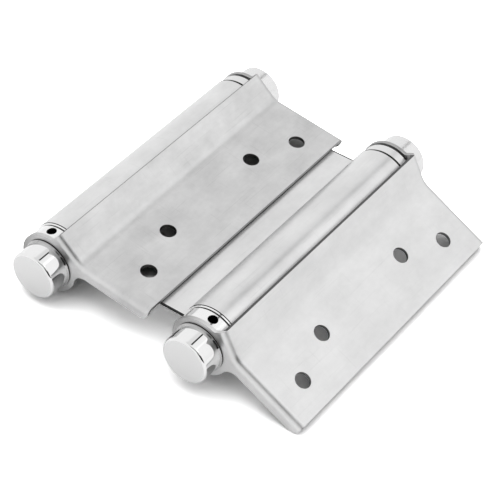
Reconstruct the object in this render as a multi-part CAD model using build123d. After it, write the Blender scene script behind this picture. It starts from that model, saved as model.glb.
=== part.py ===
from build123d import *
import os
from math import asin, atan2, cos, degrees, hypot, radians, sin, sqrt, tan

os.makedirs("parts", exist_ok=True)

# Double action spring hinge, lying as it comes to rest: leaf A folded over the web, leaf B opened out.
# X runs from barrel A to barrel B, Y along the barrels from the near end to the far end, Z up.
# Lengths are in millimetres and angles in degrees.

# The two leaves, drawn in a section with the barrel axis at its origin: U runs towards the free
# edge and V up to the mounting face
leaf_length = 101.6
leaf_sheet = 1.2
leaf_reach = 37.5
face_height = 7.9
shoulder_reach = 10.9
inner_edge_u = 2.5
inner_edge_v = 13.6
shoulder_bend_radius = 6.0
end_bend_radius = 1.0
flange_depth = 4.9
flange_corner_radius = 3.0
ear_blend_radius = 4.0
neck_blend_radius = 1.0
ear_step = 0.1

# Screw holes in each leaf: an outer pair near the free edge and an inner pair nearer the barrel
screw_hole_diameter = 5.3
outer_hole_reach = 27.8
outer_hole_spacing = 76.6
inner_hole_reach = 21.9
inner_hole_spacing = 42.8

# One web sheet with both its edges rolled into the barrels
barrel_spacing = 57.2
barrel_diameter = 20.4
web_sheet = 1.2
web_rise = 0.7
web_bend_radius = 1.0
seam_gap = 0.2

# How far each leaf is swung: the opened leaf below the plane of the barrel axes, and the gap
# that the folded leaf's free edge keeps to the web
leaf_b_slope = 28.3
folded_gap = 0.3

# Turned parts in each barrel
spindle_diameter = 7.0
tension_collar_width = 4.4
fixed_collar_width = 3.55
collar_step = 0.4
spigot_length = 8.0
tommy_hole_diameter = 3.2
tommy_hole_depth = 4.5
tommy_hole_count = 4
tommy_hole_angle_a = 98.0
tommy_hole_angle_b = 78.5
thrust_ring_thickness = 0.5
ear_washer_thickness = 0.5
ear_washer_step = 0.4
turned_edge_chamfer = 0.15

# Torsion spring
wire_diameter = 2.6
elbow_diameter = 2.8
coil_diameter = 12.6
coil_turns = 20
spring_tail_length = 5.0

# End caps
cap_diameter = 15.9
cap_length = 7.2
cap_edge_radius = 0.9
cap_washer_diameter = 16.8
cap_washer_thickness = 0.5
spindle_grip = 5.0

# Clearances
running_clearance = 0.05
face_clearance = 0.1
joint_gap = 0.25
tail_clearance = 0.15

# Places that follow from the sizes above
barrel_radius = barrel_diameter / 2
bore_radius = barrel_radius - web_sheet
ear_radius = barrel_radius - ear_step
collar_radius = barrel_radius - collar_step
ear_washer_radius = collar_radius - ear_washer_step
spindle_radius = spindle_diameter / 2
wire_radius = wire_diameter / 2
coil_radius = coil_diameter / 2
ear_outer = leaf_length / 2
ear_inner = ear_outer - leaf_sheet
near_stack = thrust_ring_thickness + tension_collar_width + 2 * joint_gap + face_clearance
far_stack = joint_gap + fixed_collar_width + ear_washer_thickness + 2 * face_clearance
barrel_near = -ear_inner + near_stack
barrel_far = ear_inner - far_stack
barrel_length = barrel_far - barrel_near
thrust_ring_near = barrel_near - joint_gap - thrust_ring_thickness
tension_collar_near = thrust_ring_near - joint_gap - tension_collar_width
fixed_collar_near = barrel_far + joint_gap
ear_washer_near = fixed_collar_near + fixed_collar_width + face_clearance
web_top = web_rise + web_sheet / 2


def polar(centre, radius, angle):
    """The point at an angle on a circle in a section."""
    return (centre[0] + radius * cos(radians(angle)), centre[1] + radius * sin(radians(angle)))


def arc(centre, radius, start, end):
    """An arc between two angles of a circle in a section."""
    middle = (start + end) / 2
    return ThreePointArc(polar(centre, radius, start), polar(centre, radius, middle), polar(centre, radius, end))


def along_barrel(section, start, length):
    """A section in XZ extruded from one place along the barrels."""
    return Pos(0, start + length, 0) * extrude(Plane.XZ * section, amount=length)


def rod(radius, start, length):
    """A plain rod on the barrel axis."""
    return along_barrel(Circle(radius), start, length)


def ring(outer_radius, inner_radius, start, length):
    """A plain ring about the barrel axis."""
    return rod(outer_radius, start, length) - rod(inner_radius, start, length)


def along_axis(shape):
    """Turn a shape made along Z so that it lies along the barrel axis."""
    return Rot(-90, 0, 0) * shape


def round_edges(shape, place, radius):
    """The round edges of one radius at one place along the barrels."""
    edges = shape.edges().filter_by(GeomType.CIRCLE)
    edges = edges.filter_by(lambda edge: abs(edge.radius - radius) < 0.01)
    return edges.filter_by(lambda edge: abs(edge.arc_center.Y - place) < 0.01)


# Leaf

shoulder_angle = atan2(face_height - inner_edge_v, shoulder_reach - inner_edge_u)
shoulder_normal = (sin(shoulder_angle), -cos(shoulder_angle))
inner_edge = (inner_edge_u, inner_edge_v)
shoulder_bend = (shoulder_reach, face_height)
free_edge = (leaf_reach, face_height)
flange_low = face_height - flange_depth


def below(point, depth):
    """The point at a depth under the shoulder, square to its sheet."""
    return (point[0] + depth * shoulder_normal[0], point[1] + depth * shoulder_normal[1])


def upper_path():
    """The outer side of the leaf's sheet, from the edge over the barrel to the free edge."""
    return FilletPolyline(inner_edge, shoulder_bend, free_edge, radius=shoulder_bend_radius)


def leaf_strip():
    """The leaf's section away from its ends: a face and a shoulder over the barrel."""
    under_height = face_height - leaf_sheet
    under_bend = (shoulder_reach + leaf_sheet * tan(shoulder_angle / 2), under_height)
    under_edge = (leaf_reach, under_height)
    under_start = below(inner_edge, leaf_sheet)
    under_path = FilletPolyline(under_start, under_bend, under_edge, radius=shoulder_bend_radius + leaf_sheet)
    return make_face([upper_path(), Line(free_edge, under_edge), under_path, Line(under_start, inner_edge)])


def nearest(shape, point):
    """The corner of a section nearest to a point."""
    return min(shape.vertices(), key=lambda corner: hypot(corner.X - point[0], corner.Y - point[1]))


def end_outline():
    """An end flange and its ear, as one outline in the section."""
    along = inner_edge_u * shoulder_normal[0] + inner_edge_v * shoulder_normal[1]
    neck_depth = -along - sqrt(along ** 2 - hypot(*inner_edge) ** 2 + ear_radius ** 2)
    neck_foot = below(inner_edge, neck_depth)
    flange_foot = (sqrt(ear_radius ** 2 - flange_low ** 2), flange_low)
    flange_corner = (leaf_reach, flange_low)
    sides = Polyline(free_edge, flange_corner, (0, flange_low), below(inner_edge, -along), inner_edge)
    outline = make_face([upper_path(), sides]) + Circle(ear_radius)
    outline = fillet(nearest(outline, flange_corner), flange_corner_radius)
    outline = fillet(nearest(outline, flange_foot), ear_blend_radius)
    return fillet(nearest(outline, neck_foot), neck_blend_radius)


def bend_edges(leaf, place, depth):
    """The edges along the folds between the sheet and one end flange, at a depth in the sheet."""
    edges = leaf.edges().filter_by(lambda edge: abs(edge.bounding_box().size.Y) < 0.001)
    edges = edges.filter_by(lambda edge: abs(edge.center().Y - place) < 0.001)
    fold = Plane.XZ * Wire(upper_path())
    return edges.filter_by(lambda edge: abs(fold.distance_to(Vertex(edge @ 0.5 - Vector(0, place, 0))) - depth) < 0.01)


def leaf():
    """A leaf lying level at its barrel's height: one folded sheet with two ears and four holes."""
    body = along_barrel(leaf_strip(), -ear_outer, leaf_length)
    for start in (-ear_outer, ear_inner):
        body += along_barrel(end_outline(), start, leaf_sheet)
    for side in (-1, 1):
        body = fillet(bend_edges(body, side * ear_inner, leaf_sheet), end_bend_radius)
        body = fillet(bend_edges(body, side * ear_outer, 0), end_bend_radius + leaf_sheet)
    body -= rod(spindle_radius + running_clearance, -ear_outer, leaf_length)
    for reach, spacing in ((outer_hole_reach, outer_hole_spacing), (inner_hole_reach, inner_hole_spacing)):
        for side in (-1, 1):
            body -= Pos(reach, side * spacing / 2, face_height) * Cylinder(screw_hole_diameter / 2, 4 * leaf_sheet)
    return body


# Web and barrels

def half_web():
    """The web's section from its middle to one barrel, rolled up and over from the web."""
    centre = (barrel_spacing, 0)
    bend_height = web_top + web_bend_radius
    roll = barrel_radius + web_bend_radius
    bend_centre = (barrel_spacing - sqrt(roll ** 2 - bend_height ** 2), bend_height)
    turn = 180 - degrees(asin(bend_height / roll))
    web_low = web_top - web_sheet
    seam = -180 - degrees(asin((web_low - seam_gap) / barrel_radius))
    middle = barrel_spacing / 2
    return make_face([
        Line((middle, web_top), (bend_centre[0], web_top)),
        arc(bend_centre, web_bend_radius, -90, turn - 180),
        arc(centre, barrel_radius, turn, seam),
        Line(polar(centre, barrel_radius, seam), polar(centre, bore_radius, seam)),
        arc(centre, bore_radius, seam, turn),
        arc(bend_centre, web_bend_radius + web_sheet, turn - 180, -90),
        Line((bend_centre[0], web_low), (middle, web_low)),
        Line((middle, web_low), (middle, web_top)),
    ])


def web():
    """One sheet with both its edges rolled into barrels."""
    half = along_barrel(half_web(), barrel_near, barrel_length)
    return half + mirror(half, about=Plane.YZ.offset(barrel_spacing / 2))


# Turned parts, about an axis at X = 0

def softened(shape, place, radius):
    """A turned part with its edge of one radius at one place chamfered."""
    return chamfer(round_edges(shape, place, radius), turned_edge_chamfer)


def tail_hole(start):
    """The blind hole that takes a spring tail, in a collar's spigot."""
    depth = spring_tail_length + face_clearance
    return Pos(coil_radius, 0, 0) * rod(wire_radius + tail_clearance, start, depth)


def tension_collar(first_angle):
    """The near collar: a flange with tommy holes, and a spigot that turns inside the barrel."""
    spigot_end = barrel_near + spigot_length
    body = rod(collar_radius, tension_collar_near, tension_collar_width)
    for place in (tension_collar_near, tension_collar_near + tension_collar_width):
        body = softened(body, place, collar_radius)
    body += rod(bore_radius - running_clearance, tension_collar_near, spigot_end - tension_collar_near)
    body -= rod(spindle_radius + running_clearance, tension_collar_near, spigot_end - tension_collar_near)
    hole = Cylinder(tommy_hole_diameter / 2, 2 * tommy_hole_depth)
    hole = Pos(0, tension_collar_near + tension_collar_width / 2, collar_radius) * hole
    for number in range(tommy_hole_count):
        body -= Rot(0, 90 - first_angle - number * 360 / tommy_hole_count, 0) * hole
    return body - tail_hole(spigot_end - spring_tail_length - face_clearance)


def fixed_collar():
    """The far collar: a plain flange just off the barrel's end, its spigot pressed into the bore."""
    body = rod(collar_radius, fixed_collar_near, fixed_collar_width)
    for place in (fixed_collar_near, fixed_collar_near + fixed_collar_width):
        body = softened(body, place, collar_radius)
    body += rod(bore_radius, barrel_far - spigot_length, spigot_length + joint_gap)
    body -= rod(spindle_radius + running_clearance, barrel_far - spigot_length,
                spigot_length + joint_gap + fixed_collar_width)
    return body - tail_hole(barrel_far - spigot_length)


def thrust_ring():
    """A thin ring between the barrel's near end and the tension collar."""
    return ring(ear_radius, bore_radius + running_clearance, thrust_ring_near, thrust_ring_thickness)


def ear_washer():
    """A nylon washer between the fixed collar and the leaf's far ear."""
    return ring(ear_washer_radius, spindle_radius + running_clearance, ear_washer_near,
                ear_washer_thickness)


def spindle():
    """The rod through both ears, gripped by the caps at its ends."""
    reach = ear_outer + cap_washer_thickness + spindle_grip
    body = rod(spindle_radius, -reach, 2 * reach)
    for side in (-1, 1):
        body = softened(body, side * reach, spindle_radius)
    return body


def cap():
    """A far end cap: a turned plug with a blind bore and a rounded front edge."""
    seat = ear_outer + cap_washer_thickness
    radius = cap_diameter / 2
    body = rod(radius, seat, cap_length)
    body = fillet(round_edges(body, seat + cap_length, radius), cap_edge_radius)
    return body - rod(spindle_radius, seat, spindle_grip + face_clearance)


def cap_washer():
    """A thin black washer under a far end cap."""
    return ring(cap_washer_diameter / 2, spindle_radius + running_clearance, ear_outer, cap_washer_thickness)


def spring():
    """A torsion coil with a straight tail at each end, held in the two collars."""
    elbow_radius = elbow_diameter / 2
    start = barrel_near + spigot_length + face_clearance + elbow_radius
    end = barrel_far - spigot_length - face_clearance - elbow_radius
    height = end - start
    path = Helix(pitch=height / coil_turns, height=height, radius=coil_radius)
    coil = sweep(Plane(origin=path @ 0, z_dir=path % 0) * Circle(wire_radius), path=path, is_frenet=True)
    body = Pos(0, start, 0) * along_axis(coil)
    tail_reach = face_clearance + elbow_radius + spring_tail_length
    for place, near in ((start, start - tail_reach), (end, end)):
        body += Pos(coil_radius, place, 0) * Sphere(elbow_radius)
        body += Pos(coil_radius, 0, 0) * rod(wire_radius, near, tail_reach)
    return body


# Places of the leaves, and the tilt at which barrel A and leaf B's lower corner share the floor

under_free_edge = (leaf_reach, face_height - leaf_sheet)
leaf_a_slope = degrees(atan2(under_free_edge[1], under_free_edge[0])
                       - asin((web_top + folded_gap) / hypot(*under_free_edge)))


def lying_tilt():
    """The angle of the line under barrel A and under leaf B's rounded flange corner."""
    corner = (leaf_reach - flange_corner_radius, flange_low + flange_corner_radius)
    place = Pos(barrel_spacing, 0, 0) * Rot(0, leaf_b_slope, 0) * Pos(corner[0], 0, corner[1])
    across = place.position.X
    up = place.position.Z
    drop = barrel_radius - flange_corner_radius
    return degrees(atan2(up, across) + asin(drop / hypot(across, up)))


def hinge():
    """Every piece by name, with barrel A's axis through the origin."""
    pieces = {"web": web()}
    mirrored = Plane.XZ
    for side, offset, slope, first_angle in (("a", 0, leaf_a_slope, tommy_hole_angle_a),
                                             ("b", barrel_spacing, leaf_b_slope, tommy_hole_angle_b)):
        turned = {
            "spindle_" + side: spindle(),
            "spring_" + side: spring(),
            "tension_collar_" + side: tension_collar(first_angle),
            "fixed_collar_" + side: fixed_collar(),
            "thrust_ring_" + side: thrust_ring(),
            "ear_washer_" + side: ear_washer(),
            "cap_far_" + side: cap(),
            "cap_near_" + side: mirror(cap(), about=mirrored),
            "cap_washer_far_" + side: cap_washer(),
            "cap_washer_near_" + side: mirror(cap_washer(), about=mirrored),
            "leaf_" + side: Rot(0, slope, 0) * leaf(),
        }
        for name, shape in turned.items():
            pieces[name] = Pos(offset, 0, 0) * shape
    return pieces


pieces = hinge()
tilt = lying_tilt()
lying = {name: Rot(0, tilt, 0) * shape for name, shape in pieces.items()}
left = min(shape.bounding_box().min.X for shape in lying.values())
right = max(shape.bounding_box().max.X for shape in lying.values())
place = Pos(-(left + right) / 2, 0, barrel_radius)
for name, shape in lying.items():
    export_step(place * shape, "parts/" + name + ".step")

barrel_a = place.position
barrel_b = (place * Rot(0, tilt, 0) * Pos(barrel_spacing, 0, 0)).position
print("barrel A at X %.3f Z %.3f" % (barrel_a.X, barrel_a.Z))
print("barrel B at X %.3f Z %.3f" % (barrel_b.X, barrel_b.Z))
print("tilt %.3f, leaf A slope %.3f, leaf B slope %.3f" % (tilt, leaf_a_slope, leaf_b_slope))
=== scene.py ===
from math import radians, sin, cos, tan

import bpy
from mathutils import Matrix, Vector

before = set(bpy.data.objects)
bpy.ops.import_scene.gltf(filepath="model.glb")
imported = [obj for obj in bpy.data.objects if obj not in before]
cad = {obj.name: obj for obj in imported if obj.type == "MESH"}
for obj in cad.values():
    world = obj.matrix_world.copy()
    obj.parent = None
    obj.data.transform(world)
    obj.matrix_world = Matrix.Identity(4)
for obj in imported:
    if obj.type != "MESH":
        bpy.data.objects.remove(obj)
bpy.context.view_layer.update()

MM = 0.001
scene = bpy.context.scene


# Places on the hinge at rest, from the part's source. The near ends of the barrels are at -Y.

BARREL_A = Vector((-42.070, 0, 10.200)) * MM
BARREL_B = Vector((15.078, 0, 12.644)) * MM
ALONG_BARRELS = (0, 1, 0)
MIDDLE = (0, 0, 0)

# A leaf's slope in degrees, its places across and above the barrel's axis, and the way that its
# shoulder goes down, measured likewise
LEAF_A_SLOPE = 5.274
LEAF_B_SLOPE = 25.851
LEAF_REACH = 37.5 * MM
FACE_HEIGHT = 7.9 * MM
INNER_EDGE = (2.5 * MM, 13.6 * MM)
SHOULDER = (0.8275, -0.5615)
EAR_INNER = 49.6 * MM

# Where a tint starts and where it is full, most of them painted shade: heights and distances from a
# place named above
FREE_EDGE_BAND = (-0.06 * MM, -0.03 * MM)
INNER_EDGE_BAND = (0.06 * MM, 0.03 * MM)
UNDERSIDE_BAND = (-0.05 * MM, -0.15 * MM)
EAR_BACK_BAND = (3 * MM, 10 * MM)

# The same, for places along the barrels
BETWEEN_EARS = (EAR_INNER, EAR_INNER - 0.1 * MM)
WELL_BETWEEN_EARS = (EAR_INNER - 2 * MM, EAR_INNER - 2.1 * MM)
IN_THE_EARS = (EAR_INNER, EAR_INNER + 0.1 * MM)
FAR_BEND_BAND = (48.5 * MM, 50.3 * MM)
BARREL_FAR_RIM = (44.60 * MM, 44.70 * MM)
BARREL_NEAR_CUT = (-44.04 * MM, -44.08 * MM)
COLLAR_SEAM = (45.80 * MM, 45.72 * MM)
FAR_COLLARS = (30 * MM, 31 * MM)
FAR_CAPS = (40 * MM, 41 * MM)
WASHER_GAP_BAND = (51.12 * MM, 51.08 * MM)

# The same, for the distance from a barrel's axis
COLLAR_BORE = (9.5 * MM, 9.35 * MM)

# The same, for how squarely a surface faces a direction, from 0 to 1
ALONG_A_DIRECTION = (0.5, 0.4)
SQUARE_TO_AXIS = (0.9, 0.98)


# Camera

CAMERA_PLACE_MM = (233.056, -372.258, 430.830)
CAMERA_TURN_DEG = (45.6786, -3.9261, 36.2190)
CAMERA_LENS_MM = 141.674
CAMERA_SENSOR_MM = 36
CAMERA_NEAREST = 0.01
CAMERA_FARTHEST = 20


def place_camera():
    """The camera stands near and to the right of the hinge, looking down at it."""
    data = bpy.data.cameras.new("camera")
    data.sensor_width = CAMERA_SENSOR_MM
    data.lens = CAMERA_LENS_MM
    data.clip_start = CAMERA_NEAREST
    data.clip_end = CAMERA_FARTHEST
    camera = bpy.data.objects.new("camera", data)
    camera.location = [MM * value for value in CAMERA_PLACE_MM]
    camera.rotation_euler = [radians(value) for value in CAMERA_TURN_DEG]
    scene.collection.objects.link(camera)
    scene.camera = camera


# Shared effects

NUMBER = "NodeSocketFloat"
COLOUR = "NodeSocketColor"
VECTOR = "NodeSocketVector"


def grey(value):
    """A neutral colour."""
    return (value, value, value, 1)


def effect(name, inputs, outputs):
    """An empty shader node group with named inputs and outputs."""
    group = bpy.data.node_groups.new(name, "ShaderNodeTree")
    for label, kind, value in inputs:
        socket = group.interface.new_socket(label, in_out="INPUT", socket_type=kind)
        socket.default_value = value
    for label, kind in outputs:
        group.interface.new_socket(label, in_out="OUTPUT", socket_type=kind)
    given = group.nodes.new("NodeGroupInput").outputs
    result = group.nodes.new("NodeGroupOutput").inputs
    return group, given, result


def add(tree, kind, values, **settings):
    """A node with its settings made, and its sockets set or linked."""
    node = tree.nodes.new(kind)
    for name, value in settings.items():
        setattr(node, name, value)
    for name, value in values.items():
        if isinstance(value, bpy.types.NodeSocket):
            tree.links.new(value, node.inputs[name])
        else:
            node.inputs[name].default_value = value
    return node


def reckon(tree, operation, first, second=0.0):
    """The result of one step of arithmetic on two numbers."""
    return add(tree, "ShaderNodeMath", {0: first, 1: second}, operation=operation).outputs[0]


def times(tree, first, second):
    """Two numbers or masks multiplied."""
    return reckon(tree, "MULTIPLY", first, second)


def minus(tree, first, second):
    """One number taken from another."""
    return reckon(tree, "SUBTRACT", first, second)


def unsigned(tree, value):
    """A number without its sign."""
    return reckon(tree, "ABSOLUTE", value)


def reckon_vector(tree, operation, first, second=(0, 0, 0)):
    """One step of arithmetic on two vectors. A length and a dot product give a number."""
    node = add(tree, "ShaderNodeVectorMath", {0: first, 1: second}, operation=operation)
    return node.outputs["Value" if operation in ("LENGTH", "DOT_PRODUCT") else "Vector"]


def spread(tree, value, low, high, to_low=0.0, to_high=1.0):
    """A value stretched from one range to another, and held inside it."""
    sockets = {"Value": value, "From Min": low, "From Max": high,
               "To Min": to_low, "To Max": to_high}
    return add(tree, "ShaderNodeMapRange", sockets).outputs["Result"]


def blend_colour(tree, amount, low, high):
    """One colour turning into another as the amount goes from 0 to 1."""
    sockets = {0: amount, 6: low, 7: high}
    return add(tree, "ShaderNodeMix", sockets, data_type="RGBA").outputs[2]


def blend_number(tree, amount, low, high):
    """One number turning into another as the amount goes from 0 to 1."""
    return add(tree, "ShaderNodeMix", {0: amount, 2: low, 3: high}).outputs[0]


def own_place(tree):
    """The place of a surface point in the piece's own frame, which rides along with it."""
    return tree.nodes.new("ShaderNodeTexCoord").outputs["Object"]


def own_normal(tree):
    """The way a surface point faces, in the piece's own frame."""
    return tree.nodes.new("ShaderNodeTexCoord").outputs["Normal"]


def noise(tree, size, detail, stretch=(1, 1, 1), offset=0.0):
    """Noise with features of a size in metres, drawn out by a factor in each direction."""
    squeeze = add(tree, "ShaderNodeMapping", {
        "Vector": own_place(tree),
        "Scale": [1 / (size * factor) for factor in stretch],
        "Location": (offset, offset, offset)})
    sockets = {"Vector": squeeze.outputs["Vector"], "Scale": 1.0, "Detail": detail}
    return add(tree, "ShaderNodeTexNoise", sockets).outputs["Fac"]


def about_zero(tree, value):
    """Noise that goes below and above 0 instead of from 0 to 1."""
    return minus(tree, value, 0.5)


# Where the noise of a finish turns from its lowest to its highest effect
CLOUD_RANGE = (0.22, 0.78)
LENGTHWISE_RANGE = (0.66, 0.74)
CROSSWISE_RANGE = (0.68, 0.76)
PATCH_RANGE = (0.3, 0.7)


def make_rolled_finish():
    """Cold rolled sheet: cloudy patches, mottling, a grain along the barrels and scratches."""
    group, given, result = effect(
        "rolled finish",
        [("Light", COLOUR, grey(0.9)), ("Dark", COLOUR, grey(0.7)),
         ("Smooth", NUMBER, 0.25), ("Rough", NUMBER, 0.4), ("Grain", NUMBER, 0.3),
         ("Mottle", NUMBER, 0.3), ("Scratches", NUMBER, 0.3)],
        [("Color", COLOUR), ("Roughness", NUMBER), ("Height", NUMBER)])
    cloud = noise(group, size=9 * MM, detail=4.0, stretch=(1, 1.7, 1))
    grain = noise(group, size=0.9 * MM, detail=2.0, stretch=(1, 30, 1))
    mottle = noise(group, size=1.6 * MM, detail=3.0, stretch=(1, 1.4, 1), offset=5.0)
    level = spread(group, cloud, *CLOUD_RANGE)
    for change, share in ((grain, "Grain"), (mottle, "Mottle")):
        level = reckon(group, "ADD", level, times(group, about_zero(group, change), given[share]))

    lengthwise = noise(group, size=0.5 * MM, detail=1.0, stretch=(1, 40, 1), offset=2.0)
    crosswise = noise(group, size=0.5 * MM, detail=1.0, stretch=(24, 1, 24), offset=7.0)
    scratches = reckon(group, "ADD", spread(group, lengthwise, *LENGTHWISE_RANGE),
                       spread(group, crosswise, *CROSSWISE_RANGE))
    level = minus(group, level, times(group, scratches, given["Scratches"]))

    group.links.new(blend_colour(group, level, given["Dark"], given["Light"]), result["Color"])
    rough = spread(group, cloud, *CLOUD_RANGE, given["Smooth"], given["Rough"])
    group.links.new(rough, result["Roughness"])
    group.links.new(grain, result["Height"])
    return group


def make_turned_finish():
    """Turned metal: fine rings about the barrel axes, and faint patches."""
    group, given, result = effect(
        "turned finish",
        [("Light", COLOUR, grey(0.9)), ("Dark", COLOUR, grey(0.8)),
         ("Smooth", NUMBER, 0.08), ("Rough", NUMBER, 0.16)],
        [("Color", COLOUR), ("Roughness", NUMBER), ("Height", NUMBER)])
    rings = noise(group, size=0.3 * MM, detail=1.0, stretch=(60, 1, 60))
    patches = noise(group, size=4 * MM, detail=2.0, offset=3.0)
    group.links.new(blend_colour(group, patches, given["Dark"], given["Light"]), result["Color"])
    rough = spread(group, patches, *PATCH_RANGE, given["Smooth"], given["Rough"])
    group.links.new(rough, result["Roughness"])
    group.links.new(rings, result["Height"])
    return group


def make_barrel_distance():
    """How far a point stands from the nearer barrel axis."""
    group, given, result = effect(
        "barrel distance",
        [("A", VECTOR, BARREL_A), ("B", VECTOR, BARREL_B)],
        [("Radius", NUMBER)])
    place = own_place(group)
    distances = []
    for barrel in ("A", "B"):
        offset = reckon_vector(group, "SUBTRACT", place, given[barrel])
        flat = reckon_vector(group, "MULTIPLY", offset, (1, 0, 1))
        distances.append(reckon_vector(group, "LENGTH", flat))
    group.links.new(reckon(group, "MINIMUM", *distances), result["Radius"])
    return group


def make_reach():
    """How far a point lies from a place, measured in one direction."""
    group, given, result = effect(
        "reach",
        [("From", VECTOR, MIDDLE), ("Direction", VECTOR, (1, 0, 0))],
        [("Reach", NUMBER)])
    offset = reckon_vector(group, "SUBTRACT", own_place(group), given["From"])
    distance = reckon_vector(group, "DOT_PRODUCT", offset, given["Direction"])
    group.links.new(distance, result["Reach"])
    return group


# Studio

# Azimuth, elevation, width, height and soft edge of each patch of the studio's sky, in degrees,
# and its brightness. The dark ones are the gaps between the soft boxes, and the camera's place.
SKY_LEVEL = 0.95
SKY_PATCHES = {
    "high cloth": (-90, 80, 80, 34, 10, 0.78),
    "right window": (36, 34, 62, 46, 3, 0.98),
    "key": (60, 56, 40, 20, 6, 1.4),
    "window frame": (-2, 56, 6, 26, 1.0, 0.0),
    "camera side": (124, 18, 56, 40, 4, 0.02),
    "camera": (149, 48, 56, 26, 8, 0.12),
}

LAMP_PLACE = (-0.05, 0.3, 1.3)
LAMP_WIDTH = 2.2
LAMP_DEPTH = 2.0
LAMP_WATTS = 9.0

FLOOR_HALF = 3
FLOOR_COLOUR = 0.90
FLOOR_ROUGHNESS = 0.9
# A contact shadow painted into the floor's colour, from an ambient occlusion mask
CONTACT_REACH = 12 * MM
CONTACT_SAMPLES = 8
CONTACT_SPREAD = (0.25, 0.85)
PAINTED_CONTACT_SHADOW = 0.80
OPEN_BRIGHT = 2.05


def heading(azimuth, elevation):
    """A direction from its angle right of +Y and its angle above the floor, in degrees."""
    turn = radians(azimuth)
    rise = radians(elevation)
    return Vector((sin(turn) * cos(rise), cos(turn) * cos(rise), sin(rise)))


def make_sky_patch():
    """A rectangle in the sky, with soft edges, that takes the place of the light behind it."""
    group, given, result = effect(
        "sky patch",
        [("Sky", NUMBER, 0.0), ("Level", NUMBER, 1.0),
         ("Towards", VECTOR, (0, 0, 1)), ("Across", VECTOR, (1, 0, 0)),
         ("Above", VECTOR, (0, 1, 0)),
         ("Half Width", NUMBER, 0.5), ("Half Height", NUMBER, 0.5), ("Edge", NUMBER, 0.02)],
        [("Sky", NUMBER)])
    direction = group.nodes.new("ShaderNodeTexCoord").outputs["Generated"]
    depth = reckon_vector(group, "DOT_PRODUCT", direction, given["Towards"])
    inside = reckon(group, "GREATER_THAN", depth, 0.0)
    for side, half in (("Across", "Half Width"), ("Above", "Half Height")):
        share = reckon_vector(group, "DOT_PRODUCT", direction, given[side])
        offset = unsigned(group, reckon(group, "DIVIDE", share, depth))
        within = reckon(group, "DIVIDE", minus(group, given[half], offset), given["Edge"])
        within = add(group, "ShaderNodeClamp", {"Value": within}).outputs[0]
        inside = times(group, inside, within)
    change = times(group, minus(group, given["Level"], given["Sky"]), inside)
    group.links.new(reckon(group, "ADD", given["Sky"], change), result["Sky"])
    return group


def light_studio():
    """A white room with a window light at the back right and a dark place round the camera.

    The patches show only as light and reflections. The room behind the hinge is plain white.
    """
    world = bpy.data.worlds.new("studio")
    world.use_nodes = True
    tree = world.node_tree
    tree.nodes.clear()
    patch_group = make_sky_patch()
    sky = SKY_LEVEL
    for name, (azimuth, elevation, width, height, edge, level) in SKY_PATCHES.items():
        towards = heading(azimuth, elevation)
        across = heading(azimuth + 90, 0)
        patch = add(tree, "ShaderNodeGroup", {
            "Sky": sky, "Level": level,
            "Towards": towards, "Across": across, "Above": across.cross(towards),
            "Half Width": tan(radians(width / 2)), "Half Height": tan(radians(height / 2)),
            "Edge": tan(radians(edge))}, node_tree=patch_group, label=name)
        sky = patch.outputs["Sky"]
    straight = tree.nodes.new("ShaderNodeLightPath").outputs["Is Camera Ray"]
    seen = blend_number(tree, straight, sky, 1.0)
    glow = add(tree, "ShaderNodeBackground", {"Color": grey(1.0), "Strength": seen})
    out = tree.nodes.new("ShaderNodeOutputWorld")
    tree.links.new(glow.outputs["Background"], out.inputs["Surface"])
    scene.world = world


def hang_back_lamp():
    """A wide lamp behind and above the hinge, which casts its soft shadows towards the camera."""
    data = bpy.data.lights.new("back lamp", "AREA")
    data.shape = "RECTANGLE"
    data.size = LAMP_WIDTH
    data.size_y = LAMP_DEPTH
    data.energy = LAMP_WATTS
    lamp = bpy.data.objects.new("back lamp", data)
    lamp.location = LAMP_PLACE
    lamp.rotation_euler = (-Vector(lamp.location)).to_track_quat("-Z", "Y").to_euler()
    lamp.visible_glossy = False
    scene.collection.objects.link(lamp)


def lay_floor():
    """The plain white surface that the hinge lies on, clear when seen from underneath.

    Seen directly it is white, and darker near the hinge, where an ambient occlusion mask paints a
    contact shadow over the lamp's own. The hinge reflects a plain pale grey.
    """
    half = FLOOR_HALF
    corners = [(-half, -half, 0), (half, -half, 0), (half, half, 0), (-half, half, 0)]
    mesh = bpy.data.meshes.new("floor")
    mesh.from_pydata(corners, [], [(0, 1, 2, 3)])
    floor = bpy.data.objects.new("floor", mesh)
    scene.collection.objects.link(floor)

    material = bpy.data.materials.new("white floor")
    material.use_nodes = True
    tree = material.node_tree
    shader = tree.nodes["Principled BSDF"]
    seen = tree.nodes.new("ShaderNodeLightPath").outputs["Is Camera Ray"]
    open_sky = add(tree, "ShaderNodeAmbientOcclusion", {"Distance": CONTACT_REACH},
                   samples=CONTACT_SAMPLES).outputs["AO"]
    # Painted contact shadow: the floor's colour is darker where the hinge is near
    bright = blend_colour(tree, spread(tree, open_sky, *CONTACT_SPREAD),
                          grey(PAINTED_CONTACT_SHADOW), grey(OPEN_BRIGHT))
    colour = blend_colour(tree, seen, grey(FLOOR_COLOUR), bright)
    tree.links.new(colour, shader.inputs["Base Color"])
    shader.inputs["Roughness"].default_value = FLOOR_ROUGHNESS
    shader.inputs["Specular IOR Level"].default_value = 0
    below = tree.nodes.new("ShaderNodeNewGeometry").outputs["Backfacing"]
    clear = tree.nodes.new("ShaderNodeBsdfTransparent").outputs["BSDF"]
    sides = add(tree, "ShaderNodeMixShader", {0: below, 1: shader.outputs["BSDF"], 2: clear})
    tree.links.new(sides.outputs["Shader"], tree.nodes["Material Output"].inputs["Surface"])
    mesh.materials.append(material)


# Materials

BUMP_DEPTH = 0.1 * MM
EDGE_ROUNDING = 0.2 * MM
EDGE_STEPS = 2
EDGE_ANGLE = 40
SHEET_PIECES = ("leaf_a", "leaf_b", "web")
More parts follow.
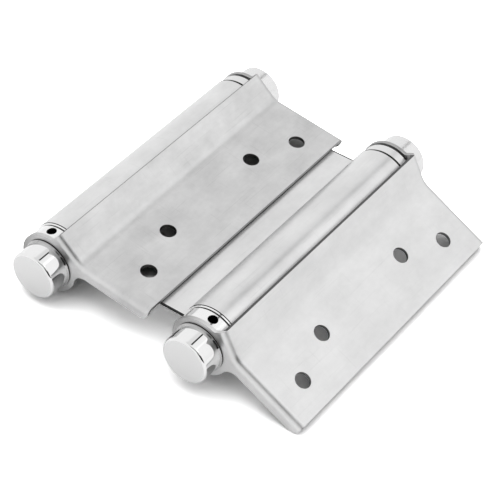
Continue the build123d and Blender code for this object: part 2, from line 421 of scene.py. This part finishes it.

# How bright a tinted place is, and how rough: painted shade, partly a real darker edge on the free
# edges, except the cap faces and the far caps and collars
UNDERSIDE_SHADE = (0.45, 0.45)
FREE_EDGE = (0.38, 0.5)
INNER_EDGE_SHADE = (0.12, 0.5)
NEAR_END_SHADE = (0.05, 0.6)
GAP_SHADE_LINE = (0.01, 0.6)
BORE_SHADE = (0.004, 0.7)
CAP_FACE = (0.80, 0.30)
FAR_CAP = (0.82, 0.24)
FAR_COLLAR = (0.80, 0.34)

HOLE_WALL_ROUGHNESS = 0.5

# How bright the painted shade is, where the roughness stays that of the sheet
EAR_BACK_SHADE = 0.36
FAR_BEND_SHADE = 0.42


def plain(name, metallic=1.0):
    """A material with its shader, ready for its finish: bare metal unless told otherwise."""
    material = bpy.data.materials.new(name)
    material.use_nodes = True
    shader = material.node_tree.nodes["Principled BSDF"]
    shader.inputs["Metallic"].default_value = metallic
    return material, material.node_tree, shader


def wear(tree, shader, group, bump, light, dark, smooth, rough, **amounts):
    """Place a finish group in a material, and lift its height into the shader's normal.

    A mirror finish has no bump. The amounts are the group's own inputs, such as its grain.
    """
    values = {"Light": grey(light), "Dark": grey(dark), "Smooth": smooth, "Rough": rough}
    for name, amount in amounts.items():
        values[name.title()] = amount
    finish = add(tree, "ShaderNodeGroup", values, node_tree=group).outputs
    tree.links.new(finish["Color"], shader.inputs["Base Color"])
    tree.links.new(finish["Roughness"], shader.inputs["Roughness"])
    if bump:
        lift = add(tree, "ShaderNodeBump", {"Strength": bump, "Distance": BUMP_DEPTH,
                                            "Height": finish["Height"]})
        tree.links.new(lift.outputs["Normal"], shader.inputs["Normal"])


def measure(tree, start, direction):
    """The reach of a surface point from a place in one direction, in metres."""
    sockets = {"From": start, "Direction": direction}
    return add(tree, "ShaderNodeGroup", sockets, node_tree=reach).outputs["Reach"]


def along_barrels(tree):
    """How far a point lies from the hinge's middle towards the far end, in metres."""
    return measure(tree, MIDDLE, ALONG_BARRELS)


def side_on(tree, direction):
    """A mask of the surfaces that lie along a direction, such as the walls of a hole."""
    facing = reckon_vector(tree, "DOT_PRODUCT", own_normal(tree), direction)
    return spread(tree, unsigned(tree, facing), *ALONG_A_DIRECTION)


def tint(tree, shader, mask, level, roughness=None):
    """Turn the shader's colour, and its roughness if given, to new ones where the mask is 1."""
    socket = shader.inputs["Base Color"]
    before = socket.links[0].from_socket
    tree.links.new(blend_colour(tree, mask, before, grey(level)), socket)
    if roughness is not None:
        socket = shader.inputs["Roughness"]
        before = socket.links[0].from_socket
        tree.links.new(blend_number(tree, mask, before, roughness), socket)


def dress(material, *names):
    """Give the whole surface of some CAD nodes one material."""
    for name in names:
        for slot in cad[name].material_slots:
            slot.material = material


def both_barrels(*pieces):
    """The names of pieces that each barrel has its own of."""
    return [f"{piece}_{barrel}" for piece in pieces for barrel in ("a", "b")]


def leaf_steel(name, axis, slope, light, dark, wall_shade):
    """Rolled sheet with painted shade on its underside, hole walls, the back of its ears, its far
    bend and its inner cut edge, and a free edge that is darker partly as sheared edges are and
    partly as painted shade.
    """
    material, tree, shader = plain(name)
    wear(tree, shader, rolled, bump=0.06, light=light, dark=dark, smooth=0.33, rough=0.45,
         grain=0.14, mottle=0.45, scratches=0.2)
    angle = radians(slope)
    across = Vector((cos(angle), 0, -sin(angle)))
    above = Vector((sin(angle), 0, cos(angle)))
    along = along_barrels(tree)
    from_middle = unsigned(tree, along)
    walled = side_on(tree, above)

    # Painted shade on the underside, between the ears
    height = measure(tree, axis + above * FACE_HEIGHT, above)
    under = times(tree, spread(tree, height, *UNDERSIDE_BAND),
                  spread(tree, from_middle, *WELL_BETWEEN_EARS))
    tint(tree, shader, under, *UNDERSIDE_SHADE)
    # Painted shade on the walls of the holes
    tint(tree, shader, times(tree, under, walled), wall_shade, HOLE_WALL_ROUGHNESS)

    # Painted shade on the ears, behind the barrel's axis
    behind = measure(tree, axis, -across)
    behind = times(tree, spread(tree, behind, *EAR_BACK_BAND),
                   spread(tree, from_middle, *IN_THE_EARS))
    tint(tree, shader, behind, EAR_BACK_SHADE)

    # Painted shade along the bend at the far end
    far_bend = times(tree, spread(tree, along, *FAR_BEND_BAND), minus(tree, 1.0, walled))
    tint(tree, shader, far_bend, FAR_BEND_SHADE)

    # The free edge is darker, partly as a sheared edge is and partly painted shade
    free = measure(tree, axis + across * LEAF_REACH, across)
    tint(tree, shader, spread(tree, free, *FREE_EDGE_BAND), *FREE_EDGE)

    # Painted shade on the inner cut edge, which the barrel mirrors as a dark band
    corner = axis + across * INNER_EDGE[0] + above * INNER_EDGE[1]
    downhill = across * SHOULDER[0] + above * SHOULDER[1]
    from_corner = unsigned(tree, measure(tree, corner, downhill))
    inner = times(tree, spread(tree, from_corner, *INNER_EDGE_BAND),
                  spread(tree, from_middle, *BETWEEN_EARS))
    tint(tree, shader, inner, *INNER_EDGE_SHADE)
    return material


def barrel_steel():
    """The web's rolled sheet, with painted shade in a dark line at the far ends of the barrels and
    on its cut near end.
    """
    material, tree, shader = plain("barrel steel")
    wear(tree, shader, rolled, bump=0.03, light=0.86, dark=0.69, smooth=0.27, rough=0.37,
         grain=0.2, mottle=0.35, scratches=0.25)
    along = along_barrels(tree)
    # A dark line of painted shade in the gap at the far end of the barrel
    tint(tree, shader, spread(tree, along, *BARREL_FAR_RIM), *GAP_SHADE_LINE)
    # Painted shade on the web's cut near end
    tint(tree, shader, spread(tree, along, *BARREL_NEAR_CUT), *NEAR_END_SHADE)
    return material


def collar_steel():
    """Bright turned collars and rings, painted black inside as shade, with a dark line of painted
    shade at the far collars' seam, and duller at the far end.
    """
    material, tree, shader = plain("collar steel")
    wear(tree, shader, turned, bump=0.03, light=0.95, dark=0.88, smooth=0.10, rough=0.16)
    radius = add(tree, "ShaderNodeGroup", {}, node_tree=barrel_distance).outputs["Radius"]
    # The bore painted black as shade
    tint(tree, shader, spread(tree, radius, *COLLAR_BORE), *BORE_SHADE)
    along = along_barrels(tree)
    far_end = spread(tree, along, *FAR_COLLARS)
    tint(tree, shader, far_end, *FAR_COLLAR)
    # A dark line of painted shade in the gap at the far collars' seam
    seam = times(tree, spread(tree, along, *COLLAR_SEAM), far_end)
    tint(tree, shader, seam, *GAP_SHADE_LINE)
    return material


def cap_chrome():
    """Mirror chrome with satin end faces, duller at the far end."""
    material, tree, shader = plain("cap chrome")
    wear(tree, shader, turned, bump=0.0, light=0.92, dark=0.86, smooth=0.0, rough=0.02)
    facing = add(tree, "ShaderNodeSeparateXYZ", {0: own_normal(tree)}).outputs["Y"]
    tint(tree, shader, spread(tree, unsigned(tree, facing), *SQUARE_TO_AXIS), *CAP_FACE)
    tint(tree, shader, spread(tree, along_barrels(tree), *FAR_CAPS), *FAR_CAP)
    return material


def spindle_steel():
    """Duller steel of the spindles and springs."""
    material, tree, shader = plain("spindle steel")
    wear(tree, shader, turned, bump=0.05, light=0.65, dark=0.5, smooth=0.2, rough=0.3)
    return material


def washer_steel():
    """Thin washers, darkened as painted shade, with a dark line of painted shade where they meet
    the ears.
    """
    material, tree, shader = plain("washer steel")
    wear(tree, shader, turned, bump=0.0, light=0.72, dark=0.40, smooth=0.06, rough=0.12)
    # A dark line of painted shade where the washers meet the ears
    gap_shade = spread(tree, unsigned(tree, along_barrels(tree)), *WASHER_GAP_BAND)
    tint(tree, shader, gap_shade, *GAP_SHADE_LINE)
    return material


def black_nylon():
    """Dull black nylon of the ear washers."""
    material, tree, shader = plain("black nylon", metallic=0.0)
    wear(tree, shader, turned, bump=0.05, light=0.03, dark=0.015, smooth=0.45, rough=0.6)
    return material


def soften_edges():
    """Round the edges of the sheet pieces very slightly, as pressing leaves them."""
    for name in SHEET_PIECES:
        bevel = cad[name].modifiers.new("soft edges", "BEVEL")
        bevel.width = EDGE_ROUNDING
        bevel.segments = EDGE_STEPS
        bevel.limit_method = "ANGLE"
        bevel.angle_limit = radians(EDGE_ANGLE)


scene.view_settings.view_transform = "Standard"
place_camera()
light_studio()
lay_floor()
hang_back_lamp()

rolled = make_rolled_finish()
turned = make_turned_finish()
barrel_distance = make_barrel_distance()
reach = make_reach()

# Both leaves are one steel; leaf A's copy is darker as painted shade, and so are the walls of its
# holes
leaf_a_steel = leaf_steel("leaf a steel", BARREL_A, LEAF_A_SLOPE, light=0.81, dark=0.59, wall_shade=0.10)
leaf_b_steel = leaf_steel("leaf b steel", BARREL_B, LEAF_B_SLOPE, light=0.84, dark=0.69, wall_shade=0.40)
dress(leaf_a_steel, "leaf_a")
dress(leaf_b_steel, "leaf_b")
dress(barrel_steel(), "web")
dress(collar_steel(), *both_barrels("tension_collar", "fixed_collar", "thrust_ring"))
dress(cap_chrome(), *both_barrels("cap_near", "cap_far"))
dress(spindle_steel(), *both_barrels("spindle", "spring"))
dress(washer_steel(), *both_barrels("cap_washer_near", "cap_washer_far"))
dress(black_nylon(), *both_barrels("ear_washer"))
soften_edges()
